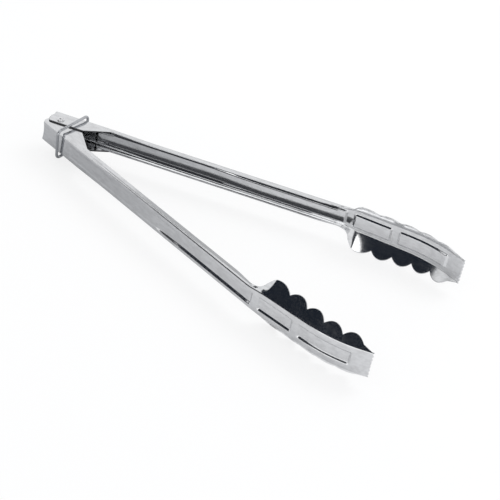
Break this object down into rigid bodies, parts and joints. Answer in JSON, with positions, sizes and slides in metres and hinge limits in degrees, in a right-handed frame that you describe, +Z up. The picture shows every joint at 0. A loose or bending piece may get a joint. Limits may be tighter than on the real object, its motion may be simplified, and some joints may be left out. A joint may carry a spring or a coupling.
{
  "type": "spring loaded kitchen tongs",
  "caption": "Stamped steel kitchen tongs with scalloped jaws, a riveted spring pivot and a sliding wire lock ring.",
  "frame": {"origin": "middle of the open tongs, on the plane they lie on", "axes": "+X from the rivet towards the jaws, +Y towards the far arm, +Z up along the rivet's axis"},
  "size_m": [0.3006, 0.1386, 0.037],
  "materials": {
    "arm_steel": "polished",
    "rivet_steel": "bright",
    "spring_steel": "drawn wire",
    "ring_steel": "bright drawn wire"
  },
  "bodies": {
    "pivot": {"pivot_rivet": "rivet_steel", "rivet_washer": "rivet_steel", "spring_sleeve": "rivet_steel", "torsion_spring": "spring_steel"},
    "near_arm": {"near_arm": "arm_steel"},
    "far_arm": {"far_arm": "arm_steel"},
    "ring": {"lock_ring": "ring_steel"}
  },
  "joints": [
    {"name": "far_arm_hinge", "type": "hinge", "parent": "pivot", "child": "far_arm", "pos_m": [-0.14109, 0, 0.01853], "axis": [0, 0, -1], "range_deg": [0, 12.1], "stiffness_Nm_per_rad": 0.5, "springref_deg": -17.19, "deforming": ["torsion_spring"]},
    {"name": "near_arm_hinge", "type": "hinge", "parent": "pivot", "child": "near_arm", "pos_m": [-0.14109, 0, 0.01853], "axis": [0, 0, 1], "range_deg": [0, 12.1], "stiffness_Nm_per_rad": 0.5, "springref_deg": -17.19},
    {"name": "ring_slide", "type": "slide", "parent": "pivot", "child": "ring", "axis": [1, 0, 0], "range_m": [0, 0.024]}
  ],
  "couplings": [
    {"joint": "near_arm_hinge", "follows": "far_arm_hinge", "ratio": 1},
    {"joint": "ring_slide", "follows": "far_arm_hinge", "m_per_rad": 0.1135}
  ]
}
